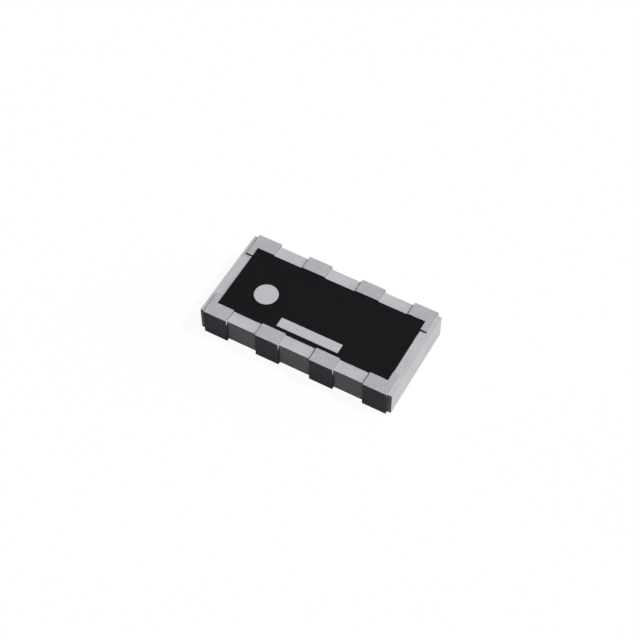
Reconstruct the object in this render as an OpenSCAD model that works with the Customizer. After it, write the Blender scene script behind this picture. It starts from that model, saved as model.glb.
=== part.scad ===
// Chip resistor network: four printed resistors on one ceramic chip. Each resistor joins a
// terminal on the front edge to the terminal that faces it on the rear edge.
// Millimetres. The origin is the centre of the seating plane, +X runs along the chip away
// from the index dot, +Y points to the rear row and +Z is up.

/* [Ceramic chip] */
// Length of the ceramic along X
chip_l = 3.2; // [2.8:0.05:4]
// Width of the ceramic along Y
chip_w = 1.6; // [1.4:0.05:2]
// Thickness of the ceramic
chip_t = 0.43; // [0.3:0.01:0.7]

/* [Terminals] */
// Width of one terminal along the chip
terminal_w = 0.39; // [0.3:0.005:0.42]
// Gap from the chip's end to the corner terminal
terminal_end_gap = 0.069; // [0.03:0.001:0.15]
// Spacing of the two middle terminals of a row, centre to centre
middle_pitch = 0.908; // [0.8:0.002:1]
// Thickness of the metal on every face that it wraps
plating_t = 0.033; // [0.02:0.001:0.06]
// Reach of the wrap over the top face, from the chip's long edge
top_reach = 0.368; // [0.25:0.002:0.45]
// Reach of the wrap over the underside, from the chip's long edge
bottom_reach = 0.3; // [0.2:0.01:0.5]
// Radius of the metal's outer bends
bend_r = 0.005; // [0.003:0.001:0.018]

/* [Printed conductors] */
// Thickness of the conductor print
conductor_t = 0.008; // [0.005:0.001:0.012]
// Inset of a conductor's land from each side of its terminal
land_inset = 0.03; // [0.01:0.005:0.06]
// Inset of a conductor's finger from each side of its resistor film
finger_inset = 0.04; // [0.01:0.005:0.07]

/* [Resistor films] */
// Width of a film along the chip
film_w = 0.36; // [0.28:0.01:0.44]
// Thickness of a film where it laps its conductors
film_t = 0.004; // [0.003:0.001:0.008]
// Lap of a film over the end of each conductor
film_lap = 0.12; // [0.06:0.01:0.2]
// Width of the laser's trim cut
trim_w = 0.03; // [0.02:0.005:0.05]
// Depth of the trim cut in from the film's side
trim_depth = 0.16; // [0.08:0.01:0.22]
// Length of the trim cut's leg along the film
trim_leg = 0.2; // [0.1:0.01:0.3]

/* [Coats] */
// Inset of the films from the edge of the glass
film_inset = 0.05; // [0.03:0.005:0.08]
// Thickness of the glass over the films
glass_t = 0.004; // [0.003:0.001:0.008]
// Inset of the glass from the edge of the overcoat
glass_inset = 0.06; // [0.03:0.005:0.09]
// Thickness of the overcoat over the glass
overcoat_t = 0.005; // [0.003:0.001:0.012]
// Bare margin between the overcoat and each end of the chip
overcoat_end_gap = 0.17; // [0.12:0.005:0.25]
// Margin between the overcoat and each long edge of the chip
overcoat_side_gap = 0.205; // [0.16:0.005:0.24]

/* [Printed marks] */
// Thickness of the marking ink
ink_t = 0.004; // [0.002:0.001:0.008]
// Diameter of the index dot
dot_d = 0.371; // [0.2:0.01:0.5]
// Distance of the dot's centre from the overcoat's end
dot_from_end = 0.557; // [0.4:0.005:0.7]
// Distance of the dot's centre from the overcoat's front edge
dot_from_front = 0.49; // [0.45:0.005:0.7]
// Length of the marking bar
bar_l = 1.022; // [0.6:0.002:1.3]
// Width of the marking bar
bar_w = 0.167; // [0.08:0.005:0.25]
// Distance of the bar's near end from the overcoat's end
bar_from_end = 0.974; // [0.9:0.005:1.1]
// Distance of the bar from the overcoat's front edge
bar_from_front = 0.065; // [0.03:0.005:0.15]

/* [Hidden] */
$fn = 96;

// How far a cutting block runs past the face that it opens
overcut = 0.1;

per_row = 4;
pin_count = 2 * per_row;

// Edges of the prints, each set in from the one over it
overcoat_x = chip_l / 2 - overcoat_end_gap;
overcoat_y = chip_w / 2 - overcoat_side_gap;
glass_x = overcoat_x - glass_inset;
glass_y = overcoat_y - glass_inset;
film_end_y = glass_y - film_inset;
finger_end_y = film_end_y - film_lap;
land_end_y = min(chip_w / 2 - top_reach + land_inset, film_end_y);

// Columns along the chip, from the dot's end
corner_x = chip_l / 2 - terminal_end_gap - terminal_w / 2;
corner_film_x = glass_x - film_inset - film_w / 2;
middle_x = middle_pitch / 2;
terminal_columns = [-corner_x, -middle_x, middle_x, corner_x];
film_columns = [-corner_film_x, -middle_x, middle_x, corner_film_x];

// Heights above the seating plane
chip_bottom = plating_t;
chip_top = chip_bottom + chip_t;
conductor_top = chip_top + conductor_t;
film_top = conductor_top + film_t;
glass_top = film_top + glass_t;
overcoat_top = glass_top + overcoat_t;
terminal_top = chip_top + plating_t;

// Column of a pin: 1 to 4 count along the front, 5 to 8 come back along the rear
function pin_column(pin) = pin <= per_row ? pin - 1 : pin_count - pin;

// A shape drawn for the rear row, turned to the row of this pin
module in_row_of(pin) {
    mirror([0, pin <= per_row ? 1 : 0, 0]) children();
}

// Flat outline between two corners
module patch(low, high) {
    translate(low) square(high - low);
}

// A print of this outline, from the ceramic up to a height
module print_up_to(top) {
    translate([0, 0, chip_top]) linear_extrude(top - chip_top) children();
}

// Section of a terminal across the rear long edge, Y to the right and Z up
module wrap_section() {
    outer_y = chip_w / 2 + plating_t;
    patch([chip_w / 2 - bottom_reach, 0], [outer_y - bend_r, plating_t]);
    patch([chip_w / 2, bend_r], [outer_y, terminal_top - bend_r]);
    patch([chip_w / 2 - top_reach, chip_top], [outer_y - bend_r, terminal_top]);
    for (z = [bend_r, terminal_top - bend_r])
        translate([outer_y - bend_r, z]) circle(bend_r);
}

// Footprint of a rear terminal on the top face, before the overcoat stops it
module terminal_outline(column) {
    half = terminal_w / 2;
    x = terminal_columns[column];
    patch([x - half, chip_w / 2 - top_reach], [x + half, chip_w / 2]);
}

// Land under the terminal, finger under the film and the step that joins them,
// kept within what covers them
module conductor_outline(column) {
    land_low = terminal_columns[column] - terminal_w / 2 + land_inset;
    land_high = terminal_columns[column] + terminal_w / 2 - land_inset;
    finger_low = film_columns[column] - film_w / 2 + finger_inset;
    finger_high = film_columns[column] + film_w / 2 - finger_inset;
    intersection() {
        union() {
            patch([land_low, land_end_y], [land_high, chip_w / 2]);
            patch([min(land_low, finger_low), film_end_y], [max(land_high, finger_high), glass_y]);
            patch([finger_low, finger_end_y], [finger_high, glass_y]);
        }
        union() {
            terminal_outline(column);
            overcoat_outline();
        }
    }
}

// The laser's L-shaped cut: in from the film's side, then along it
module trim_outline(column) {
    side_x = film_columns[column] - film_w / 2;
    leg_x = side_x + trim_depth;
    patch([side_x, -trim_leg / 2], [leg_x, trim_w - trim_leg / 2]);
    patch([leg_x - trim_w, -trim_leg / 2], [leg_x, trim_leg / 2]);
}

module film_outline(column) {
    half = [film_w / 2, film_end_y];
    difference() {
        translate([film_columns[column], 0]) patch(-half, half);
        trim_outline(column);
    }
}

// One sheet over all four films, cut through where the laser trimmed them
module glass_outline() {
    difference() {
        patch([-glass_x, -glass_y], [glass_x, glass_y]);
        for (column = [0:per_row - 1]) trim_outline(column);
    }
}

module overcoat_outline() {
    patch([-overcoat_x, -overcoat_y], [overcoat_x, overcoat_y]);
}

module all_conductors() {
    for (pin = [1:pin_count]) conductor(pin);
}

module ceramic_base() {
    color("#bbbcbe")
        translate([-chip_l / 2, -chip_w / 2, chip_bottom]) cube([chip_l, chip_w, chip_t]);
}

// Plated metal over one edge of the chip, stopped by the overcoat's edge on top
module terminal(pin) {
    left_x = terminal_columns[pin_column(pin)] - terminal_w / 2;
    color("#aeafb3")
        difference() {
            in_row_of(pin)
                translate([left_x, 0, 0])
                    rotate([90, 0, 90]) linear_extrude(terminal_w) wrap_section();
            print_up_to(terminal_top + overcut) overcoat_outline();
            conductor(pin);
        }
}

module conductor(pin) {
    color("#cfc9bc")
        in_row_of(pin)
            print_up_to(conductor_top) conductor_outline(pin_column(pin));
}

module resistor(column) {
    color("#3a3532")
        difference() {
            print_up_to(film_top) film_outline(column);
            all_conductors();
        }
}

module glass_undercoat() {
    color("#6f8578")
        difference() {
            print_up_to(glass_top) glass_outline();
            for (column = [0:per_row - 1]) print_up_to(film_top) film_outline(column);
            all_conductors();
        }
}

// Black coat, which also fills the trim cuts down to the ceramic
module overcoat() {
    color("#1b1c1e")
        difference() {
            print_up_to(overcoat_top) overcoat_outline();
            print_up_to(glass_top) glass_outline();
            all_conductors();
        }
}

module index_dot() {
    color("#b9babc")
        translate([dot_from_end - overcoat_x, dot_from_front - overcoat_y, overcoat_top])
            cylinder(h = ink_t, d = dot_d);
}

module marking_bar() {
    color("#b9babc")
        translate([bar_from_end - overcoat_x, bar_from_front - overcoat_y, overcoat_top])
            cube([bar_l, bar_w, ink_t]);
}

ceramic_base();
for (pin = [1:pin_count]) {
    terminal(pin);
    conductor(pin);
}
for (column = [1:per_row])
    resistor(column - 1);
glass_undercoat();
overcoat();
index_dot();
marking_bar();
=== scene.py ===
"""Looks of the chip resistor network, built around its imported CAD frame.

Each piece is shaped in millimetres, because modelling tools lose fine edges at the chip's real size,
and is brought down to metres as its last step.
"""
from __future__ import annotations

import logging
import math
from collections.abc import Callable, Iterator
from contextlib import contextmanager
from dataclasses import dataclass
from enum import Enum

import bmesh
import bpy
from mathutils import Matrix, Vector

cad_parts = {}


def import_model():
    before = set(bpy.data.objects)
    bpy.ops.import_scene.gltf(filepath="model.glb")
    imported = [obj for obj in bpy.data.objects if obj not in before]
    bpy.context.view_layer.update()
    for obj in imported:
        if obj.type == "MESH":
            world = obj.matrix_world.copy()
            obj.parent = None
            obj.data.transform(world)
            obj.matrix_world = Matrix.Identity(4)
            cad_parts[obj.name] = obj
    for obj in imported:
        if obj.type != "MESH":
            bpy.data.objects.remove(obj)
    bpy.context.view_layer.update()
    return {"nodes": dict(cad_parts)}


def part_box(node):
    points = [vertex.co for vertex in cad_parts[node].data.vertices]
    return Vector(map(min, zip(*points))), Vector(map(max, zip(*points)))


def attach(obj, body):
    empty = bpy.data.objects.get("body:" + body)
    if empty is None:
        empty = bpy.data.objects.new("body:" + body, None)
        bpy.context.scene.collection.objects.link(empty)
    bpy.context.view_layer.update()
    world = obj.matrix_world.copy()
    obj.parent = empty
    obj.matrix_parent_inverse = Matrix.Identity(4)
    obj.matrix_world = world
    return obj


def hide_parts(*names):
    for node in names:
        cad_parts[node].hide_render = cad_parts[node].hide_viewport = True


LOG = logging.getLogger("resistor_network")
BODY = "root"
MM = 0.001
# Places in millimetres that are closer than this count as one.
NEAR_MM = 1e-4
# Least cosine between two directions that count as one, and least that counts at all.
SQUARE_ON = 0.9
SLIGHTLY = 0.01
# Faces that meet at less than the first angle are one flat face, and at less than the second they are
# shaded as one.
FLAT = math.radians(0.5)
CREASE = math.radians(40)
RIGHT = Vector((1, 0, 0))
REAR = Vector((0, 1, 0))
FRONT = -REAR
UP = Vector((0, 0, 1))
# Sockets of a Mix node, whose names repeat: its factor, the two numbers or the two colours that it mixes,
# and the colour that comes out.
FACTOR = 0
NUMBER_A = 2
NUMBER_B = 3
COLOUR_A = 6
COLOUR_B = 7
MIXED = 2


class Element(Enum):
    """What a pick in edit mode takes hold of."""

    EDGE = "EDGE"
    FACE = "FACE"


class Slot(Enum):
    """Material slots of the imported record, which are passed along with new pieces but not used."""

    ALUMINA = "alumina"
    TIN_PLATE = "tin_plate"
    BLACK_COAT = "black_coat"
    MARKING_INK = "marking_ink"


class PaintedLight(Enum):
    """Painted shade and painted highlight on the faces of a wrap, which its finish reads."""

    THIN = "thin_tin"
    RUBBED = "rubbed_bright"


def near(a: float, b: float) -> bool:
    """Tells whether two places in millimetres are the same."""
    return abs(a - b) < NEAR_MM


def looks(face: bmesh.types.BMFace, way: Vector) -> bool:
    """Tells whether a face looks a given way."""
    return face.normal.dot(way) > SQUARE_ON


def lies_at(edge: bmesh.types.BMEdge, height: float) -> bool:
    """Tells whether an edge lies level at a height in millimetres."""
    return all(near(vert.co.z, height) for vert in edge.verts)


def linear(colour: str) -> tuple[float, float, float, float]:
    """Turns an sRGB hex colour into the linear colour that a socket takes.

    Args:
        colour: Six hex digits after a hash sign.

    Returns:
        Linear red, green and blue, and an alpha of one.
    """
    channels = []
    for start in (1, 3, 5):
        value = int(colour[start:start + 2], 16) / 255
        channels.append(value / 12.92 if value <= 0.04045 else ((value + 0.055) / 1.055) ** 2.4)
    return channels[0], channels[1], channels[2], 1.0


def per_metre(size_mm: float) -> float:
    """Scale of a pattern on Object coordinates whose features are this many millimetres across."""
    return 1 / (size_mm * MM)


def add_node(
    tree: bpy.types.NodeTree,
    kind: str,
    sockets: dict[str | int, object] | None = None,
    **settings: object,
) -> bpy.types.Node:
    """Adds a node with its settings, its socket values and its links.

    Args:
        tree: Node tree that gets the node.
        kind: Type name of the node.
        sockets: Value or source socket for each input, by the input's name or number.
        **settings: Properties of the node itself.

    Returns:
        The new node.
    """
    node = tree.nodes.new(kind)
    for name, value in settings.items():
        setattr(node, name, value)
    for name, value in (sockets or {}).items():
        if isinstance(value, bpy.types.NodeSocket):
            tree.links.new(value, node.inputs[name])
        else:
            node.inputs[name].default_value = value
    return node


def empty_material(name: str) -> tuple[bpy.types.Material, bpy.types.NodeTree]:
    """Makes a material with an empty node tree.

    Args:
        name: Name of the real finish.

    Returns:
        The material and its tree.
    """
    material = bpy.data.materials.new(name)
    material.use_nodes = True
    material.node_tree.nodes.clear()
    return material, material.node_tree


@dataclass(frozen=True, kw_only=True)
class Finish:
    """A surface that varies between two tones, with a fine relief."""

    pale: str
    deep: str
    relief_mm: float
    relief_strength: float = 0.3

    def close(
        self, tree: bpy.types.NodeTree, height: bpy.types.NodeSocket, surface: dict[str, object]
    ) -> None:
        """Ends a material with its relief, its shader and its output.

        Args:
            tree: Node tree of the material.
            height: Source of the relief.
            surface: Value or source socket for each other input of the shader.
        """
        bump = add_node(tree, "ShaderNodeBump", {
            "Height": height, "Strength": self.relief_strength, "Distance": self.relief_mm * MM})
        shader = add_node(tree, "ShaderNodeBsdfPrincipled", {"Normal": bump.outputs[0], **surface})
        add_node(tree, "ShaderNodeOutputMaterial", {"Surface": shader.outputs[0]})


@dataclass(frozen=True, kw_only=True)
class FiredAlumina(Finish):
    """Pressed and fired alumina: an even, pale, dry grey whose grain only just breaks the surface."""

    pale: str = "#c3c4c5"
    deep: str = "#b6b7b8"
    # The real grain is about 0.003 mm; it is drawn this coarse so that it shows.
    grain_mm: float = 0.016
    grain_octaves: float = 3.0
    grain_roughness: float = 0.6
    cloud_mm: float = 0.35
    cloud_octaves: float = 2.0
    # Grain times cloud at which the tone is deep, and at which it is pale.
    deep_at: float = 0.1
    pale_at: float = 0.4
    relief_mm: float = 0.0006
    relief_strength: float = 0.4
    roughness: float = 0.55
    roughness_spread: float = 0.08
    ior: float = 1.76
    # The fine grain breaks up most of the gloss.
    specular: float = 0.135

    def make(self) -> bpy.types.Material:
        """Builds the material.

        Returns:
            The finished material.
        """
        material, tree = empty_material("fired_alumina")
        place = add_node(tree, "ShaderNodeTexCoord").outputs["Object"]
        grain = add_node(tree, "ShaderNodeTexNoise", {
            "Vector": place, "Scale": per_metre(self.grain_mm), "Detail": self.grain_octaves,
            "Roughness": self.grain_roughness})
        cloud = add_node(tree, "ShaderNodeTexNoise", {
            "Vector": place, "Scale": per_metre(self.cloud_mm), "Detail": self.cloud_octaves})
        product = add_node(
            tree, "ShaderNodeMath", {0: grain.outputs[0], 1: cloud.outputs[0]}, operation="MULTIPLY")
        tone = add_node(tree, "ShaderNodeMapRange", {
            "Value": product.outputs[0], "From Min": self.deep_at, "From Max": self.pale_at})
        colour = add_node(tree, "ShaderNodeMix", {
            FACTOR: tone.outputs[0], COLOUR_A: linear(self.deep), COLOUR_B: linear(self.pale)},
            data_type="RGBA")
        rough = add_node(tree, "ShaderNodeMapRange", {
            "Value": grain.outputs[0], "To Min": self.roughness - self.roughness_spread,
            "To Max": self.roughness + self.roughness_spread})
        self.close(tree, grain.outputs[0], {
            "Base Color": colour.outputs[MIXED], "Roughness": rough.outputs[0], "IOR": self.ior,
            "Specular IOR Level": self.specular})
        return material


@dataclass(frozen=True, kw_only=True)
class MatteTin(Finish):
    """Matte electroplated tin: a soft grey metal whose fine crystals scatter light instead of mirroring.

    Some faces of the wraps are painted darker towards a dark grey as painted shade, and the front wraps'
    sides get a painted highlight just under the bend.
    """

    pale: str = "#b9babd"
    deep: str = "#a4a5a8"
    # Colours of the painted shade and of the painted highlight on the wraps.
    shade_colour: str = "#36373a"
    rubbed: str = "#e6e6e6"
    # Real crystals are about 0.005 mm; they are drawn this coarse so that they show.
    crystal_mm: float = 0.014
    cloud_mm: float = 0.12
    cloud_octaves: float = 3.0
    cloud_share: float = 0.5
    relief_mm: float = 0.0008
    roughness: float = 0.75
    roughness_spread: float = 0.1
    # So much is scattered that the eye sees a grey body and no mirror.
    metallic: float = 0.0
    specular: float = 0.04

    def make(self) -> bpy.types.Material:
        """Builds the material.

        Returns:
            The finished material.
        """
        material, tree = empty_material("matte_tin_plate")
        place = add_node(tree, "ShaderNodeTexCoord").outputs["Object"]
        crystals = add_node(tree, "ShaderNodeTexVoronoi", {
            "Vector": place, "Scale": per_metre(self.crystal_mm)}, feature="F1")
        cloud = add_node(tree, "ShaderNodeTexNoise", {
            "Vector": place, "Scale": per_metre(self.cloud_mm), "Detail": self.cloud_octaves})
        facet = add_node(tree, "ShaderNodeSeparateColor", {"Color": crystals.outputs["Color"]})
        tone = add_node(tree, "ShaderNodeMix", {
            FACTOR: self.cloud_share, NUMBER_A: facet.outputs[0], NUMBER_B: cloud.outputs[0]},
            data_type="FLOAT")
        tin = add_node(tree, "ShaderNodeMix", {
            FACTOR: tone.outputs[0], COLOUR_A: linear(self.deep), COLOUR_B: linear(self.pale)},
            data_type="RGBA")
        # Painted shade, then painted highlight, laid over the tin by the marks on the wraps' faces.
        shade_mark = add_node(tree, "ShaderNodeAttribute", attribute_name=PaintedLight.THIN.value)
        shaded_tin = add_node(tree, "ShaderNodeMix", {
            FACTOR: shade_mark.outputs["Fac"], COLOUR_A: tin.outputs[MIXED], COLOUR_B: linear(self.shade_colour)},
            data_type="RGBA")
        # Painted highlight on the front wraps' sides, just under the bend.
        rubbed = add_node(tree, "ShaderNodeAttribute", attribute_name=PaintedLight.RUBBED.value)
        colour = add_node(tree, "ShaderNodeMix", {
            FACTOR: rubbed.outputs["Fac"], COLOUR_A: shaded_tin.outputs[MIXED], COLOUR_B: linear(self.rubbed)},
            data_type="RGBA")
        rough = add_node(tree, "ShaderNodeMapRange", {
            "Value": facet.outputs[1], "To Min": self.roughness - self.roughness_spread,
            "To Max": self.roughness + self.roughness_spread})
        self.close(tree, crystals.outputs["Distance"], {
            "Base Color": colour.outputs[MIXED], "Roughness": rough.outputs[0], "Metallic": self.metallic,
            "Specular IOR Level": self.specular})
        return material


@dataclass(frozen=True, kw_only=True)
class BlackResinCoat(Finish):
    """Screen-printed, cured black resin: near black, dull, with the faint swell of a print that levelled."""

    pale: str = "#191a1c"
    deep: str = "#121315"
    pigment_mm: float = 0.02
    pigment_octaves: float = 2.0
    swell_mm: float = 0.09
    swell_octaves: float = 1.0
    relief_mm: float = 0.0012
    roughness: float = 0.45
    roughness_spread: float = 0.06
    ior: float = 1.52
    specular: float = 0.12

    def make(self) -> bpy.types.Material:
        """Builds the material.

        Returns:
            The finished material.
        """
        material, tree = empty_material("black_resin_coat")
        place = add_node(tree, "ShaderNodeTexCoord").outputs["Object"]
        pigment = add_node(tree, "ShaderNodeTexNoise", {
            "Vector": place, "Scale": per_metre(self.pigment_mm), "Detail": self.pigment_octaves})
        swell = add_node(tree, "ShaderNodeTexNoise", {
            "Vector": place, "Scale": per_metre(self.swell_mm), "Detail": self.swell_octaves})
        colour = add_node(tree, "ShaderNodeMix", {
            FACTOR: pigment.outputs[0], COLOUR_A: linear(self.deep), COLOUR_B: linear(self.pale)},
            data_type="RGBA")
        rough = add_node(tree, "ShaderNodeMapRange", {
            "Value": pigment.outputs[0], "To Min": self.roughness - self.roughness_spread,
            "To Max": self.roughness + self.roughness_spread})
        self.close(tree, swell.outputs[0], {
            "Base Color": colour.outputs[MIXED], "Roughness": rough.outputs[0], "IOR": self.ior,
            "Specular IOR Level": self.specular})
        return material


@dataclass(frozen=True, kw_only=True)
class PaleInk(Finish):
    """Screen-printed pale ink: a flat light grey with the faint weave of the screen it came through."""

    pale: str = "#c2c3c4"
    deep: str = "#b4b5b6"
    # A fine screen has a thread every 0.03 mm or so.
    thread_mm: float = 0.03
    mottle_mm: float = 0.05
    mottle_octaves: float = 3.0
    relief_mm: float = 0.0005
    relief_strength: float = 0.25
    roughness: float = 0.6
    ior: float = 1.5
    specular: float = 0.2

    def make(self) -> bpy.types.Material:
        """Builds the material.

        Returns:
            The finished material.
        """
        material, tree = empty_material("pale_marking_ink")
        place = add_node(tree, "ShaderNodeTexCoord").outputs["Object"]
        mottle = add_node(tree, "ShaderNodeTexNoise", {
            "Vector": place, "Scale": per_metre(self.mottle_mm), "Detail": self.mottle_octaves})
        # A wave has one period every 2 pi / 20 units of its scaled coordinate.
        waves = per_metre(self.thread_mm) * math.pi / 10
        warp = add_node(tree, "ShaderNodeTexWave", {"Vector": place, "Scale": waves}, bands_direction="X")
        weft = add_node(tree, "ShaderNodeTexWave", {"Vector": place, "Scale": waves}, bands_direction="Y")
        weave = add_node(
            tree, "ShaderNodeMath", {0: warp.outputs[1], 1: weft.outputs[1]}, operation="MULTIPLY")
        colour = add_node(tree, "ShaderNodeMix", {
            FACTOR: mottle.outputs[0], COLOUR_A: linear(self.deep), COLOUR_B: linear(self.pale)},
            data_type="RGBA")
        self.close(tree, weave.outputs[0], {
            "Base Color": colour.outputs[MIXED], "Roughness": self.roughness, "IOR": self.ior,
            "Specular IOR Level": self.specular})
        return material


@dataclass(frozen=True, kw_only=True)
class FiredPrint(Finish):
    """A fired thick-film print under the coats: silver, resistor paste or glass, by its values."""

    name: str
    speckle_mm: float = 0.012
    speckle_octaves: float = 3.0
    relief_mm: float = 0.0006
    roughness: float
    metallic: float = 0.0

    def make(self) -> bpy.types.Material:
        """Builds the material.

        Returns:
            The finished material.
        """
        material, tree = empty_material(self.name)
        place = add_node(tree, "ShaderNodeTexCoord").outputs["Object"]
        speckle = add_node(tree, "ShaderNodeTexNoise", {
            "Vector": place, "Scale": per_metre(self.speckle_mm), "Detail": self.speckle_octaves})
        colour = add_node(tree, "ShaderNodeMix", {
            FACTOR: speckle.outputs[0], COLOUR_A: linear(self.deep), COLOUR_B: linear(self.pale)},
            data_type="RGBA")
        self.close(tree, speckle.outputs[0], {
            "Base Color": colour.outputs[MIXED], "Roughness": self.roughness, "Metallic": self.metallic})
        return material


@dataclass(frozen=True)
class WhiteSweep:
    """Matt white studio sweep: plain white to the eye, with the object's shadow on it and little bounce."""

    white: str = "#ffffff"
    bounce: str = "#404040"
    shadow_share: float = 0.05

    def make(self) -> bpy.types.Material:
        """Builds the material.

        Returns:
            The finished material.
        """
        material, tree = empty_material("white_sweep")
        path = add_node(tree, "ShaderNodeLightPath")
        seen = add_node(tree, "ShaderNodeMath", {
            0: path.outputs["Is Camera Ray"], 1: path.outputs["Is Glossy Ray"]}, operation="MAXIMUM")
        shown = add_node(tree, "ShaderNodeMath", {
            0: seen.outputs[0], 1: path.outputs["Is Transmission Ray"]}, operation="MAXIMUM")
        glow = add_node(tree, "ShaderNodeEmission", {"Color": linear(self.white), "Strength": 1.0})
        paper = add_node(tree, "ShaderNodeBsdfDiffuse", {"Color": linear(self.white)})
        sheet = add_node(tree, "ShaderNodeMixShader", {
            0: self.shadow_share, 1: glow.outputs[0], 2: paper.outputs[0]})
        dim = add_node(tree, "ShaderNodeBsdfDiffuse", {"Color": linear(self.bounce)})
        surface = add_node(tree, "ShaderNodeMixShader", {
            0: shown.outputs[0], 1: dim.outputs[0], 2: sheet.outputs[0]})
        add_node(tree, "ShaderNodeOutputMaterial", {"Surface": surface.outputs[0]})
        return material


@dataclass(frozen=True)
class Box:
    """An upright box in millimetres."""

    low: Vector
    high: Vector

    @classmethod
    def of_node(cls, node: str) -> Box:
        """Box of a CAD node."""
        low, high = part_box(node)
        return cls(low / MM, high / MM)

    @property
    def centre(self) -> Vector:
        """Middle of the box."""
        return (self.low + self.high) / 2

    @property
    def size(self) -> Vector:
        """Length of the box along each axis."""
        return self.high - self.low


class Workpiece:
    """One piece on the bench, in millimetres until it is fitted to the part."""

    def __init__(self, solid: bpy.types.Object, name: str) -> None:
        """Takes up an object under the piece's name.

        Args:
            solid: Mesh object that becomes the piece.
            name: Name of the piece.
        """
        solid.name = name
        solid.data.name = name
        self.solid = solid

    @classmethod
    def block(cls, name: str, box: Box) -> Workpiece:
        """Starts a piece as a block.

        Args:
            name: Name of the piece.
            box: Size and place of the block.

        Returns:
            The new piece.
        """
        bpy.ops.object.select_all(action="DESELECT")
        bpy.ops.mesh.primitive_cube_add(size=1, location=box.centre, scale=box.size)
        piece = cls(bpy.context.object, name)
        piece.settle()
        return piece

    @classmethod
    def disc(cls, name: str, box: Box, sides: int) -> Workpiece:
        """Starts a piece as a round disc.

        Args:
            name: Name of the piece.
            box: Size and place of the disc.
            sides: Number of flats round the disc.

        Returns:
            The new piece.
        """
        bpy.ops.object.select_all(action="DESELECT")
        bpy.ops.mesh.primitive_cylinder_add(
            vertices=sides, radius=box.size.x / 2, depth=box.size.z, location=box.centre)
        piece = cls(bpy.context.object, name)
        piece.settle()
        return piece

    @classmethod
    def copy_of_node(cls, name: str, node: bpy.types.Object) -> Workpiece:
        """Starts a piece as a merged copy of a CAD node.

        Args:
            name: Name of the piece.
            node: CAD node's object, which stays as it is.

        Returns:
            The new piece.
        """
        solid = bpy.data.objects.new(name, node.data.copy())
        bpy.context.scene.collection.objects.link(solid)
        solid.data.materials.clear()
        solid.scale = (1 / MM,) * 3
        piece = cls(solid, name)
        piece.settle()
        piece.merge_points()
        piece.merge_flats()
        return piece

    def take_up(self) -> None:
        """Makes the piece the only selected and the active object."""
        bpy.ops.object.select_all(action="DESELECT")
        self.solid.select_set(True)
        bpy.context.view_layer.objects.active = self.solid

    def settle(self) -> None:
        """Moves the piece's place, turn and scale into its mesh."""
        self.take_up()
        bpy.ops.object.transform_apply(location=True, rotation=True, scale=True)

    @contextmanager
    def editing(self, element: Element) -> Iterator[None]:
        """Opens the piece in edit mode, with nothing selected.

        Args:
            element: What picks take hold of.

        Yields:
            Nothing; edit mode lasts as long as the block.
        """
        self.take_up()
        bpy.ops.object.mode_set(mode="EDIT")
        bpy.ops.mesh.select_mode(type=element.value)
        bpy.ops.mesh.select_all(action="DESELECT")
        yield
        bpy.ops.object.mode_set(mode="OBJECT")

    def pick_faces(self, test: Callable[[bmesh.types.BMFace], bool]) -> None:
        """Selects the faces that pass a test, and nothing else."""
        self._pick(bmesh.from_edit_mesh(self.solid.data).faces, test)

    def pick_edges(self, test: Callable[[bmesh.types.BMEdge], bool]) -> None:
        """Selects the edges that pass a test, and nothing else."""
        self._pick(bmesh.from_edit_mesh(self.solid.data).edges, test)

    def _pick(
        self, elements: bmesh.types.BMFaceSeq | bmesh.types.BMEdgeSeq, test: Callable[..., bool]
    ) -> None:
        """Selects among faces or edges in edit mode.

        Args:
            elements: Faces or edges of the open mesh.
            test: Says whether one of them is wanted.
        """
        bpy.ops.mesh.select_all(action="DESELECT")
        chosen = [element for element in elements if test(element)]
        if not chosen:
            raise ValueError(f"nothing to pick on {self.solid.name}")
        for element in chosen:
            element.select_set(True)
        bmesh.update_edit_mesh(self.solid.data)

    def cut(self, axis: Vector, distance: float) -> None:
        """Cuts the whole mesh along a plane and keeps both sides.

        Args:
            axis: Direction across the plane.
            distance: How far out along the axis the plane lies.
        """
        with self.editing(Element.FACE):
            bpy.ops.mesh.select_all(action="SELECT")
            bpy.ops.mesh.bisect(plane_co=axis * distance, plane_no=axis)

    def draw_out(self, test: Callable[[bmesh.types.BMFace], bool], offset: Vector) -> None:
        """Extrudes faces.

        Args:
            test: Says which faces.
            offset: How far, and which way.
        """
        with self.editing(Element.FACE):
            self.pick_faces(test)
            bpy.ops.mesh.extrude_region_move(TRANSFORM_OT_translate={"value": offset})

    def merge_points(self) -> None:
        """Merges the points that lie in one place."""
        with self.editing(Element.FACE):
            bpy.ops.mesh.select_all(action="SELECT")
            bpy.ops.mesh.remove_doubles(threshold=NEAR_MM)

    def merge_flats(self) -> None:
        """Dissolves the edges that cross flat faces."""
        with self.editing(Element.FACE):
            bpy.ops.mesh.select_all(action="SELECT")
            bpy.ops.mesh.dissolve_limited(angle_limit=FLAT)

    def round_edges(self, test: Callable[[bmesh.types.BMEdge], bool], radius: float, steps: int) -> None:
        """Rounds edges.

        Args:
            test: Says which edges.
            radius: Radius of the rounding.
            steps: Number of flats in the rounding.
        """
        with self.editing(Element.EDGE):
            self.pick_edges(test)
            bpy.ops.mesh.bevel(offset=radius, offset_type="OFFSET", segments=steps, affect="EDGES")

    def carve(self, cutter: Workpiece) -> None:
        """Takes another piece's form out of this one, and discards that piece.

        Args:
            cutter: Form of the hollow.
        """
        self.take_up()
        hollow = self.solid.modifiers.new("hollow", "BOOLEAN")
        hollow.operation = "DIFFERENCE"
        hollow.solver = "EXACT"
        hollow.object = cutter.solid
        bpy.ops.object.modifier_apply(modifier=hollow.name)
        bpy.data.objects.remove(cutter.solid)

    def mark_faces(self, mark: PaintedLight, measure: Callable[[bpy.types.MeshPolygon], float]) -> None:
        """Writes a value on each face for a finish to read.

        Args:
            mark: What the value tells of.
            measure: Gives the value of a face.
        """
        marks = self.solid.data.attributes.new(mark.value, "FLOAT", "FACE")
        for face in self.solid.data.polygons:
            marks.data[face.index].value = measure(face)

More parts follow.
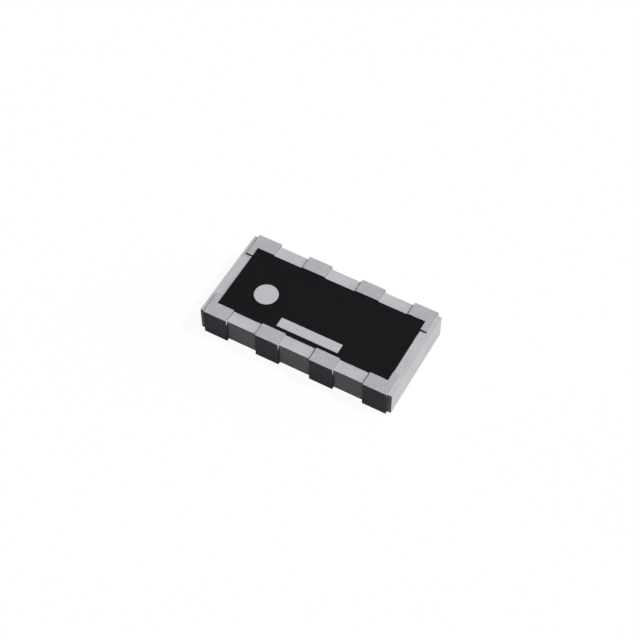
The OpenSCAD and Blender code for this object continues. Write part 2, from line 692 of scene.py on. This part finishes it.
    def mirrored(self, name: str, flip_x: bool, flip_y: bool) -> Workpiece:
        """Copies the piece with its own mesh, mirrored through the middle of the chip.

        Args:
            name: Name of the copy.
            flip_x: Whether the copy changes ends.
            flip_y: Whether the copy changes rows.

        Returns:
            The copy.
        """
        self.take_up()
        bpy.ops.object.duplicate(linked=False)
        copy = Workpiece(bpy.context.object, name)
        copy.solid.scale = (-1 if flip_x else 1, -1 if flip_y else 1, 1)
        copy.settle()
        with copy.editing(Element.FACE):
            bpy.ops.mesh.select_all(action="SELECT")
            bpy.ops.mesh.normals_make_consistent(inside=False)
        return copy

    def fit(self, node: str, slot: Slot, finish: bpy.types.Material) -> None:
        """Smooths the piece, brings it to its real size and puts it in place of a CAD node.

        Args:
            node: CAD node that the piece stands for.
            slot: Material slot of the record; not used.
            finish: Material of the piece.
        """
        self.take_up()
        bpy.ops.object.shade_smooth_by_angle(angle=CREASE)
        weights = self.solid.modifiers.new("flat faces", "WEIGHTED_NORMAL")
        weights.keep_sharp = True
        bpy.ops.object.modifier_apply(modifier=weights.name)
        self.solid.scale = (MM,) * 3
        self.settle()
        self.solid.data.materials.clear()
        self.solid.data.materials.append(finish)
        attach(self.solid, BODY)
        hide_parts(node)
        LOG.info("%s stands for %s, %d faces", self.solid.name, node, len(self.solid.data.polygons))


@dataclass
class CeramicBody:
    """The ceramic chip that carries everything, with its fired edges just broken."""

    node: str = "ceramic_base"
    edge_radius: float = 0.002
    edge_steps: int = 3

    def build(self) -> Workpiece:
        """Shapes the chip.

        Returns:
            The piece on the bench.
        """
        chip = Workpiece.block("ceramic_body", Box.of_node(self.node))
        chip.round_edges(lambda edge: True, self.edge_radius, self.edge_steps)
        return chip

    def dress(self, chip: Workpiece) -> None:
        """Gives the chip its finish and its place."""
        chip.fit(self.node, Slot.ALUMINA, FiredAlumina().make())


@dataclass
class BlackCoat:
    """The printed black coat over the resistors, hollow where it covers the other prints."""

    source: bpy.types.Object
    node: str = "overcoat"
    # The print thins out towards its rim. Its wall is 0.013 mm high where it crosses the corner conductors.
    rim_radius: float = 0.012
    rim_steps: int = 5

    def build(self) -> Workpiece:
        """Shapes the coat.

        Returns:
            The piece on the bench.
        """
        top = Box.of_node(self.node).high.z
        coat = Workpiece.copy_of_node("resin_coat", self.source)
        coat.round_edges(lambda edge: lies_at(edge, top), self.rim_radius, self.rim_steps)
        return coat

    def dress(self, coat: Workpiece) -> None:
        """Gives the coat its finish and its place."""
        coat.fit(self.node, Slot.BLACK_COAT, BlackResinCoat().make())


@dataclass
class PaintedWrapLight:
    """Painted shade and highlight on a wrap. The shade runs from nought, plain tin, to one, full dark grey.
    """

    chip: Box
    coat: Box
    # Painted shade on the narrow sides of the metal on top, towards the next wrap and towards the chip's end.
    side_shade: float = 0.45
    brow_shade: float = 0.3
    # Painted shade lower down: a corner wrap's side towards the chip's end, a front wrap's towards the next
    # wrap.
    end_shade: float = 0.65
    foot_shade: float = 0.5
    # Height of the painted highlight on a front wrap's side, just under the level of the ceramic's top.
    shoulder_height: float = 0.08

    def score(self, wrap: Workpiece) -> None:
        """Cuts a rear wrap's faces where the painted shade and highlight change.

        Args:
            wrap: The wrap on the bench.
        """
        wrap.cut(UP, self.chip.high.z)
        wrap.cut(UP, self.chip.high.z - self.shoulder_height)
        wrap.cut(REAR, self.chip.high.y)
        wrap.merge_points()

    def mark(self, wrap: Workpiece) -> None:
        """Writes the painted shade and highlight on the faces of a wrap that is in its own place."""
        wrap.mark_faces(PaintedLight.THIN, self.shade_share)
        wrap.mark_faces(PaintedLight.RUBBED, self.highlight_share)

    def is_outer_side(self, face: bpy.types.MeshPolygon) -> bool:
        """Tells whether a face is the side of a corner wrap that looks to the chip's end."""
        return face.normal.x * face.center.x > 0 and abs(face.center.x) > self.coat.high.x

    def is_front_side(self, face: bpy.types.MeshPolygon) -> bool:
        """Tells whether a face is a side of a front wrap, ahead of the ceramic and towards another wrap."""
        ahead = face.center.y < self.chip.low.y
        return ahead and abs(face.normal.x) > SQUARE_ON and not self.is_outer_side(face)

    def shade_share(self, face: bpy.types.MeshPolygon) -> float:
        """Tells how much painted shade a face of a wrap gets.

        Args:
            face: A face of the wrap.

        Returns:
            Nought for plain tin, and one for the full dark grey.
        """
        on_top = face.center.z > self.chip.high.z
        inwards = face.normal.y * face.center.y < 0
        # Painted shade: an inward end face above the ceramic is painted fully dark.
        if on_top and inwards and abs(face.normal.y) > SQUARE_ON:
            return 1.0
        if abs(face.normal.x) < SQUARE_ON:
            return 0.0
        if self.is_front_side(face):
            return 0.0 if on_top else self.foot_shade
        if self.is_outer_side(face):
            return self.brow_shade if on_top else self.end_shade
        return self.side_shade if on_top else 0.0

    def highlight_share(self, face: bpy.types.MeshPolygon) -> float:
        """Tells whether a face gets the painted highlight, as the front wraps' sides do just under the bend.

        Args:
            face: A face of the wrap.

        Returns:
            One where it is bright, and nought elsewhere.
        """
        drop = self.chip.high.z - face.center.z
        return float(0 < drop < self.shoulder_height and self.is_front_side(face))


@dataclass
class TerminalRows:
    """The eight plated wraps over the chip's long edges."""

    chip: Box
    coat: Box
    nodes: dict[str, bpy.types.Object]
    bend_radius: float = 0.005
    bend_steps: int = 5
    edge_radius: float = 0.0015
    edge_steps: int = 3
    pins: int = 8
    # Pins on the rear edge, to the right of the middle, from which the others are copied.
    corner_pin: int = 5
    middle_pin: int = 6

    def wrap(self, name: str, pin: int) -> Workpiece:
        """Shapes one wrap on the rear edge.

        Args:
            name: Name of the piece.
            pin: Pin whose box it fills.

        Returns:
            The piece on the bench.
        """
        box = Box.of_node(f"terminal_{pin}")
        edge_y = self.chip.high.y
        wall = Workpiece.block(name, Box(Vector((box.low.x, edge_y, box.low.z)), box.high))
        wall.cut(UP, self.chip.low.z)
        wall.cut(UP, self.chip.high.z)
        # A corner wrap passes the coat's end, and reaches further in there.
        passes_coat = box.high.x > self.coat.high.x > box.low.x
        if passes_coat:
            wall.cut(RIGHT, self.coat.high.x)
        wall.draw_out(
            lambda face: looks(face, FRONT) and face.calc_center_median().z > self.chip.high.z,
            FRONT * (edge_y - self.coat.high.y))
        if passes_coat:
            wall.draw_out(
                lambda face: looks(face, FRONT) and near(face.calc_center_median().y, self.coat.high.y)
                and face.calc_center_median().x > self.coat.high.x,
                FRONT * (self.coat.high.y - box.low.y))
        # On a middle wrap it is the metal underneath that reaches furthest in.
        under_y = Box.of_node(f"terminal_{self.middle_pin}").low.y
        wall.draw_out(
            lambda face: looks(face, FRONT) and face.calc_center_median().z < self.chip.low.z,
            FRONT * (edge_y - under_y))
        wall.merge_flats()
        wall.round_edges(lambda edge: self.is_bend(edge, box), self.bend_radius, self.bend_steps)
        wall.round_edges(lambda edge: self.is_rim(edge, box), self.edge_radius, self.edge_steps)
        wall.carve(Workpiece.copy_of_node("land", self.nodes[f"conductor_{pin}"]))
        return wall

    @staticmethod
    def is_bend(edge: bmesh.types.BMEdge, box: Box) -> bool:
        """Tells whether an edge is one of the two along which the metal of a rear wrap bends."""
        outermost = all(near(vert.co.y, box.high.y) for vert in edge.verts)
        return outermost and (lies_at(edge, box.low.z) or lies_at(edge, box.high.z))

    def is_rim(self, edge: bmesh.types.BMEdge, box: Box) -> bool:
        """Tells whether an edge bounds the outer skin of a rear wrap."""
        return sum(self.is_skin(face, box) for face in edge.link_faces) == 1

    def is_skin(self, face: bmesh.types.BMFace, box: Box) -> bool:
        """Tells whether a face is part of the outer skin of a rear wrap: its top, its rear or its underside.

        Args:
            face: A face of the wrap.
            box: Box of the wrap.

        Returns:
            Whether it is.
        """
        middle = face.calc_center_median()
        top = middle.z > box.high.z - self.bend_radius and face.normal.z > SLIGHTLY
        underside = middle.z < box.low.z + self.bend_radius and face.normal.z < -SLIGHTLY
        rear = middle.y > box.high.y - self.bend_radius and face.normal.y > SLIGHTLY
        return abs(face.normal.x) <= SQUARE_ON and (top or underside or rear)

    def build(self) -> list[Workpiece]:
        """Shapes a corner wrap and a middle wrap, and copies them round the chip.

        Returns:
            The pieces on the bench, in the order of their pins.
        """
        # Painted shade and highlight, written on each copy's faces.
        wrap_light = PaintedWrapLight(self.chip, self.coat)
        corner = self.wrap("corner_wrap", self.corner_pin)
        middle = self.wrap("middle_wrap", self.middle_pin)
        for pattern in (corner, middle):
            wrap_light.score(pattern)
        wraps = []
        for pin in range(1, self.pins + 1):
            place = Box.of_node(f"terminal_{pin}").centre
            pattern = corner if abs(place.x) > self.chip.high.x / 2 else middle
            wrap = pattern.mirrored(f"tin_wrap_{pin}", place.x < 0, place.y < 0)
            wrap_light.mark(wrap)
            wraps.append(wrap)
        for pattern in (corner, middle):
            bpy.data.objects.remove(pattern.solid)
        return wraps

    def dress(self, wraps: list[Workpiece]) -> None:
        """Gives the wraps their finish and their places.

        Args:
            wraps: The pieces on the bench, in the order of their pins.
        """
        tin = MatteTin().make()
        for pin, wrap in enumerate(wraps, start=1):
            wrap.fit(f"terminal_{pin}", Slot.TIN_PLATE, tin)


@dataclass
class PrintedMarks:
    """The index dot and the bar, two shallow patches of ink with rounded rims."""

    dot_node: str = "index_dot"
    bar_node: str = "marking_bar"
    dot_sides: int = 128
    corner_radius: float = 0.004
    rim_radius: float = 0.002
    steps: int = 3

    def build(self) -> tuple[Workpiece, Workpiece]:
        """Shapes the two marks.

        Returns:
            The dot and the bar on the bench.
        """
        box = Box.of_node(self.bar_node)
        dot = Workpiece.disc("ink_dot", Box.of_node(self.dot_node), self.dot_sides)
        bar = Workpiece.block("ink_bar", box)
        bar.round_edges(
            lambda edge: not near(edge.verts[0].co.z, edge.verts[1].co.z), self.corner_radius, self.steps)
        # Both marks are one print, so their tops are level.
        for mark in (dot, bar):
            mark.round_edges(lambda edge: lies_at(edge, box.high.z), self.rim_radius, self.steps)
        return dot, bar

    def dress(self, dot: Workpiece, bar: Workpiece) -> None:
        """Gives the marks their finish and their places.

        Args:
            dot: The dot on the bench.
            bar: The bar on the bench.
        """
        ink = PaleInk().make()
        dot.fit(self.dot_node, Slot.MARKING_INK, ink)
        bar.fit(self.bar_node, Slot.MARKING_INK, ink)


@dataclass
class BuriedPrints:
    """The conductors, films and glass under the coat, kept as the CAD has them."""

    nodes: dict[str, bpy.types.Object]
    silver: FiredPrint = FiredPrint(
        name="fired_silver_print", pale="#cfcabd", deep="#b9b3a5", roughness=0.35, metallic=1.0)
    paste: FiredPrint = FiredPrint(
        name="fired_resistor_paste", pale="#3d3834", deep="#2b2724", roughness=0.5)
    glass: FiredPrint = FiredPrint(
        name="fired_glass_print", pale="#74897d", deep="#667a6e", roughness=0.2)

    def dress(self) -> None:
        """Gives each buried print its finish."""
        finishes = {
            "conductor": self.silver.make(),
            "resistor": self.paste.make(),
            "glass": self.glass.make(),
        }
        for name, node in self.nodes.items():
            finish = finishes.get(name.split("_")[0])
            if finish:
                node.data.materials.clear()
                node.data.materials.append(finish)
                LOG.info("%s keeps its CAD shape in %s", name, finish.name)


@dataclass(frozen=True)
class Lamp:
    """A far lamp: its light comes from one direction, spread over a small angle."""

    name: str
    towards: Vector
    strength: float
    spread: float

    def hang(self) -> None:
        """Adds the lamp to the scene."""
        light = bpy.data.lights.new(self.name, "SUN")
        light.energy = self.strength
        light.angle = self.spread
        lamp = bpy.data.objects.new(self.name, light)
        lamp.rotation_mode = "QUATERNION"
        lamp.rotation_quaternion = self.towards.to_track_quat("Z", "Y")
        bpy.context.scene.collection.objects.link(lamp)


@dataclass
class Studio:
    """White floor and backdrop, three lamps, a little fill from all round, and the camera."""

    floor_radius_mm: float = 60.0
    sweep_radius_mm: float = 80.0
    sweep_angle: float = math.radians(72)
    sweep_steps: int = 12
    sweep_sides: int = 96
    key: Lamp = Lamp("key", towards=Vector((0.71, 0.28, 1.0)), strength=3.08, spread=math.radians(3))
    rim: Lamp = Lamp("rim", towards=Vector((0.795, 0.557, 0.242)), strength=1.66, spread=math.radians(30))
    # Skims in from the left, so that it lights that end and next to nothing else.
    side: Lamp = Lamp("side", towards=Vector((-1.0, 0.06, 0.045)), strength=0.8, spread=math.radians(5))
    fill: str = "#53545e"
    azimuth: float = math.radians(29.0)
    elevation: float = math.radians(54.0)
    distance_mm: float = 23.11
    target_mm: Vector = Vector((-0.0272, 0.0223, 0.2478))
    lens: float = 87.07
    sensor: float = 36.0
    nearest_mm: float = 0.5
    farthest_mm: float = 10000.0

    def ring(self, name: str, fill_type: str) -> bpy.types.Object:
        """Adds a circle as wide as the floor.

        Args:
            name: Name of the circle.
            fill_type: What fills it, in the operator's words.

        Returns:
            The new object, which is the active one.
        """
        bpy.ops.object.select_all(action="DESELECT")
        bpy.ops.mesh.primitive_circle_add(
            vertices=self.sweep_sides, radius=self.floor_radius_mm * MM, fill_type=fill_type)
        bpy.context.object.name = name
        return bpy.context.object

    def sweep_up(self) -> None:
        """Draws the active ring out and up along a wide curve."""
        bpy.ops.object.mode_set(mode="EDIT")
        bpy.ops.mesh.select_mode(type=Element.EDGE.value)
        bpy.ops.mesh.select_all(action="SELECT")
        radius = self.floor_radius_mm
        height = 0.0
        for step in range(1, self.sweep_steps + 1):
            angle = self.sweep_angle * step / self.sweep_steps
            rise = self.sweep_radius_mm * (1 - math.cos(angle)) - height
            wider = (self.floor_radius_mm + self.sweep_radius_mm * math.sin(angle)) / radius
            bpy.ops.mesh.extrude_edges_move(TRANSFORM_OT_translate={"value": UP * rise * MM})
            bpy.ops.transform.resize(value=(wider, wider, 1), center_override=(0, 0, 0))
            height += rise
            radius *= wider
        bpy.ops.object.mode_set(mode="OBJECT")
        bpy.ops.object.shade_smooth()

    def lay_floor(self) -> None:
        """Lays a round white floor, and a backdrop that sweeps up from its rim and lets low lamps through."""
        floor = self.ring("floor", "NGON")
        backdrop = self.ring("backdrop", "NOTHING")
        self.sweep_up()
        backdrop.visible_shadow = False
        white = WhiteSweep().make()
        for sheet in (floor, backdrop):
            sheet.data.materials.append(white)

    def light(self) -> None:
        """Hangs the lamps and sets the fill."""
        for lamp in (self.key, self.rim, self.side):
            lamp.hang()
        world = bpy.data.worlds.new("studio")
        world.use_nodes = True
        world.node_tree.nodes.clear()
        tree = world.node_tree
        fill = add_node(tree, "ShaderNodeBackground", {"Color": linear(self.fill), "Strength": 1.0})
        add_node(tree, "ShaderNodeOutputWorld", {"Surface": fill.outputs[0]})
        bpy.context.scene.world = world

    def place_camera(self) -> None:
        """Sets the camera where the photograph was taken from."""
        back = Vector((
            math.sin(self.azimuth) * math.cos(self.elevation),
            -math.cos(self.azimuth) * math.cos(self.elevation),
            math.sin(self.elevation)))
        lens = bpy.data.cameras.new("camera")
        lens.sensor_width = self.sensor
        lens.lens = self.lens
        lens.clip_start = self.nearest_mm * MM
        lens.clip_end = self.farthest_mm * MM
        camera = bpy.data.objects.new("camera", lens)
        camera.location = (self.target_mm + back * self.distance_mm) * MM
        camera.rotation_mode = "QUATERNION"
        camera.rotation_quaternion = (-back).to_track_quat("-Z", "Y")
        bpy.context.scene.collection.objects.link(camera)
        bpy.context.scene.camera = camera

    def build(self) -> None:
        """Sets up the floor, the light, the camera and the plain view transform."""
        self.lay_floor()
        self.light()
        self.place_camera()
        bpy.context.scene.view_settings.view_transform = "Standard"
        LOG.info("studio is set")


def main() -> None:
    """Builds the chip piece by piece round its CAD frame."""
    logging.basicConfig(level=logging.INFO, format="%(name)s: %(message)s")
    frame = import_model()
    nodes = frame["nodes"]
    Studio().build()

    body = CeramicBody()
    body.dress(body.build())
    coat = BlackCoat(nodes["overcoat"])
    coat.dress(coat.build())
    rows = TerminalRows(Box.of_node(body.node), Box.of_node(coat.node), nodes)
    rows.dress(rows.build())
    marks = PrintedMarks()
    marks.dress(*marks.build())
    BuriedPrints(nodes).dress()


if __name__ == "__main__":
    main()
